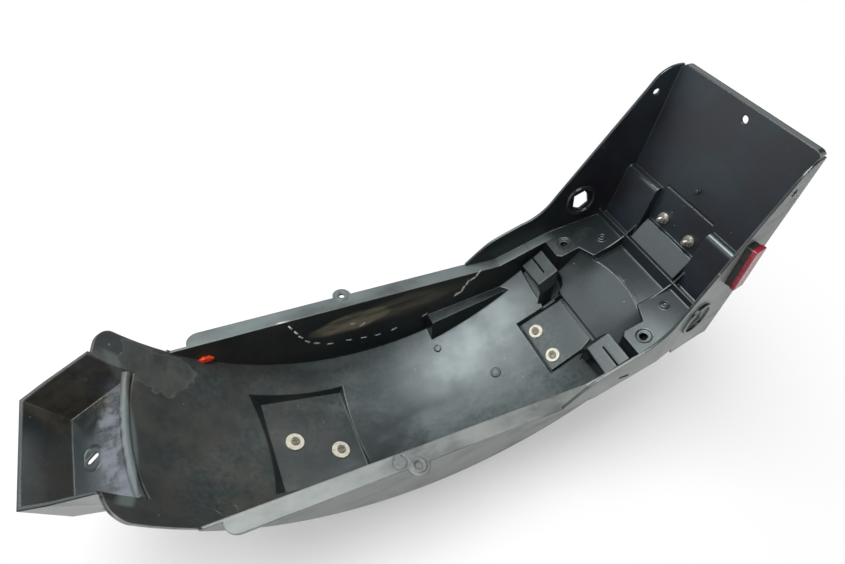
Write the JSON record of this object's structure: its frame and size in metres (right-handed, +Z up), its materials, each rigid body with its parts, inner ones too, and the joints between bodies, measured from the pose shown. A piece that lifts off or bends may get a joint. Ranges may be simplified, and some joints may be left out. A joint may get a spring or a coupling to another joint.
{
  "type": "motorcycle rear hugger mudguard",
  "caption": "Moulded black inner rear mudguard with a curved tyre arch, side flanges with ears, a front scoop, clip tongues and an upright plate panel with a side reflector.",
  "frame": {"origin": "bottom centre of the bounding box, on the plane that the arched back rests on", "axes": "+X towards the tail panel, +Y towards the side without the reflector, +Z up, into the open side of the arch"},
  "size_m": [0.75, 0.263, 0.3649],
  "materials": {
    "black_plastic": "satin moulded, dusty and scuffed",
    "washer": "off-white, slightly worn",
    "steel_screw": "dull, aged",
    "zinc_nut": "zinc plated",
    "reflector_back": "satin dark",
    "reflector_lens": "crimson, prismatic"
  },
  "bodies": {
    "root": {"mudguard_body": "black_plastic", "front_pad_washers": "washer", "front_pad_screws": "steel_screw", "front_pad_nuts": "zinc_nut", "rear_pad_washers": "washer", "rear_pad_screws": "steel_screw", "rear_pad_nuts": "zinc_nut", "tail_bolts": "zinc_nut", "tail_washers": "zinc_nut", "tail_nuts": "zinc_nut", "reflector_base": "reflector_back", "reflector_lens": "reflector_lens"}
  },
  "joints": []
}
